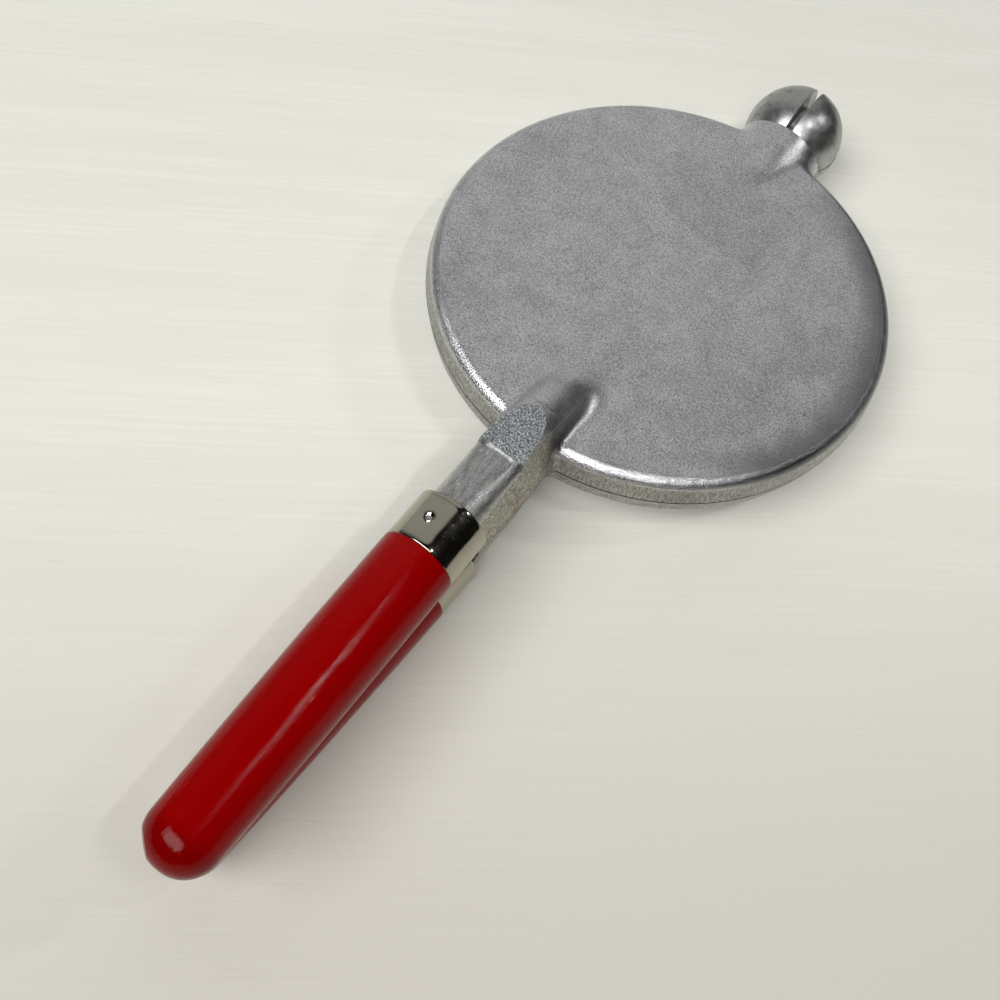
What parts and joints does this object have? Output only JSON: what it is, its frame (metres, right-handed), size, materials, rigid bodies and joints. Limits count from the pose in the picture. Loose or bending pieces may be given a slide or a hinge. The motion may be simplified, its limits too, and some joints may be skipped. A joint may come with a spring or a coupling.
{
  "type": "krumkake iron",
  "caption": "Hand-held stovetop iron for thin rolled wafer cookies: round hinged cast plates with patterned baking faces, a slotted ball joint, metal ferrules and red turned handles.",
  "frame": {"origin": "centre of the flat back face of the lower plate", "axes": "+Z square to the plates and up out of the upper one, +Y from the plates to the hinge ball, -Y along the handles"},
  "size_m": [0.152, 0.3333, 0.0466],
  "materials": {
    "cast_aluminium": "as-cast, tumbled, fine matte grain",
    "pin_steel": "plain drawn steel",
    "ferrule_nickel": "bright nickel plate",
    "handle_wood": "glossy red lacquer",
    "brad_steel": "nickelled nail head"
  },
  "bodies": {
    "lower_half": {"lower_plate": "cast_aluminium", "hinge_pin": "pin_steel", "lower_ferrule": "ferrule_nickel", "lower_handle": "handle_wood", "lower_ferrule_brad": "brad_steel"},
    "upper_half": {"upper_plate": "cast_aluminium", "upper_ferrule": "ferrule_nickel", "upper_handle": "handle_wood", "upper_ferrule_brad": "brad_steel"}
  },
  "joints": [
    {"name": "plate_hinge", "type": "hinge", "parent": "lower_half", "child": "upper_half", "pos_m": [0, 0.0917, 0.0089], "axis": [-1, 0, 0], "range_deg": [0, 180]}
  ]
}
